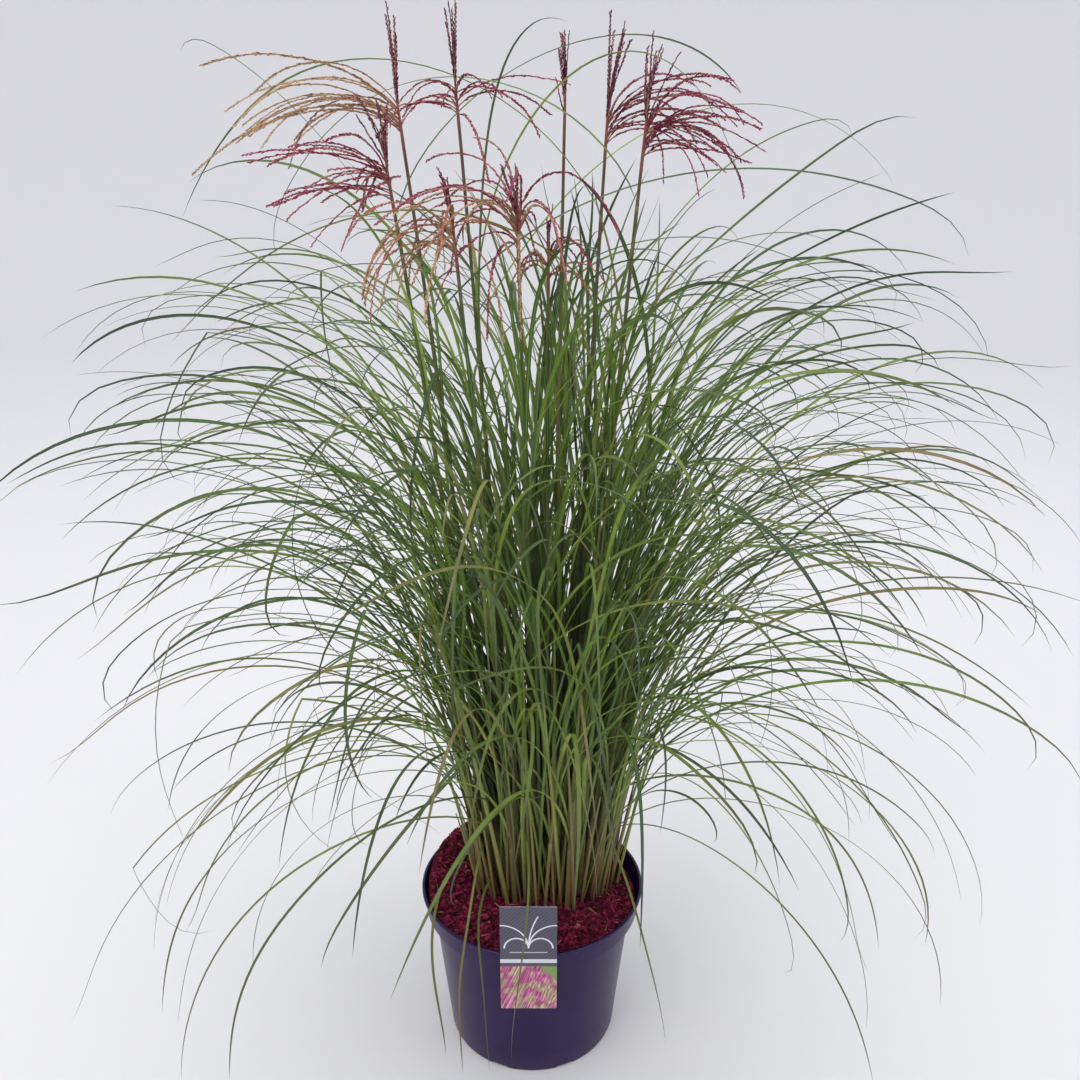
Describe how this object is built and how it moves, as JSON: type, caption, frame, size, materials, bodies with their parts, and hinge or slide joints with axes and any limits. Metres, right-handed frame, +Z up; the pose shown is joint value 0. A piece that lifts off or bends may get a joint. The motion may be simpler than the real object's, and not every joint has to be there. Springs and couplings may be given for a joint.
{
  "type": "potted chinese silver grass",
  "caption": "Chinese silver grass in a round nursery pot: upright stems, long arching leaves, feathery red plumes, bark mulch and a blank plant label over the rim.",
  "frame": {"origin": "centre of the flat underside of the pot, where it stands", "axes": "+Z up along the stems, -Y to the front with the plant label, +X to the right"},
  "size_m": [1.1473, 0.9105, 1.1327],
  "materials": {
    "pot_plastic": "satin",
    "soil": "matte",
    "bark": "matte",
    "label_card": "satin",
    "grass": "satin",
    "plume": "matte"
  },
  "bodies": {
    "root": {"pot": "pot_plastic", "potting_soil": "soil", "bark_mulch": "bark", "plant_label": "label_card", "flowering_stem_01": "grass", "flowering_stem_02": "grass", "flowering_stem_03": "grass", "flowering_stem_04": "grass", "flowering_stem_05": "grass", "flowering_stem_06": "grass", "flowering_stem_07": "grass", "flowering_stem_08": "grass", "flowering_stem_09": "grass", "leafy_stem_10": "grass", "leafy_stem_11": "grass", "leafy_stem_12": "grass", "leafy_stem_13": "grass", "leafy_stem_14": "grass", "leafy_stem_15": "grass", "leafy_stem_16": "grass", "leafy_stem_17": "grass", "leafy_stem_18": "grass", "leafy_stem_19": "grass", "leafy_stem_20": "grass", "leafy_stem_21": "grass", "leafy_stem_22": "grass", "leafy_stem_23": "grass", "leafy_stem_24": "grass", "leafy_stem_25": "grass", "leafy_stem_26": "grass", "leafy_stem_27": "grass", "leafy_stem_28": "grass", "leafy_stem_29": "grass", "leafy_stem_30": "grass", "leafy_stem_31": "grass", "leafy_stem_32": "grass", "leafy_stem_33": "grass", "leafy_stem_34": "grass", "leafy_stem_35": "grass", "leafy_stem_36": "grass", "leafy_stem_37": "grass", "leafy_stem_38": "grass", "leafy_stem_39": "grass", "leafy_stem_40": "grass", "plume_01": "plume", "plume_02": "plume", "plume_03": "plume", "plume_04": "plume", "plume_05": "plume", "plume_06": "plume", "plume_07": "plume", "plume_08": "plume", "plume_09": "plume"}
  },
  "joints": []
}
